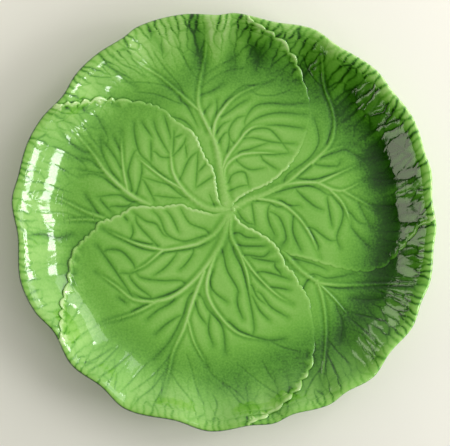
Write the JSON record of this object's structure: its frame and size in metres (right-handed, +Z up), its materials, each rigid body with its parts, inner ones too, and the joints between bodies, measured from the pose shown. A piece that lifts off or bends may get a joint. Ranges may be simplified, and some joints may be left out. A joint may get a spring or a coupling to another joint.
{
  "type": "charger plate",
  "caption": "Round glazed earthenware charger plate with a wavy rim, a shallow well on a foot ring, and overlapping veined leaves in low relief over its whole face.",
  "frame": {"origin": "on the table, below the middle of the plate's outline", "axes": "+Z up out of the well, +X to the right and +Y away from the viewer as the plate lies in front of someone"},
  "size_m": [0.3229, 0.3184, 0.0367],
  "materials": {
    "leaf_glaze": "glossy translucent green glaze, dark where it pools and light on the raised veins",
    "back_glaze": "glossy green glaze over buff earthenware",
    "bare_clay": "glazed sides, and a bare wiped edge where it stands"
  },
  "bodies": {
    "root": {"dish_body": "back_glaze", "foot_ring": "bare_clay", "stalk_knot": "leaf_glaze", "leaf_top": "leaf_glaze", "leaf_upper_left": "leaf_glaze", "leaf_lower_left": "leaf_glaze", "leaf_lower_right": "leaf_glaze", "leaf_right": "leaf_glaze"}
  },
  "joints": []
}
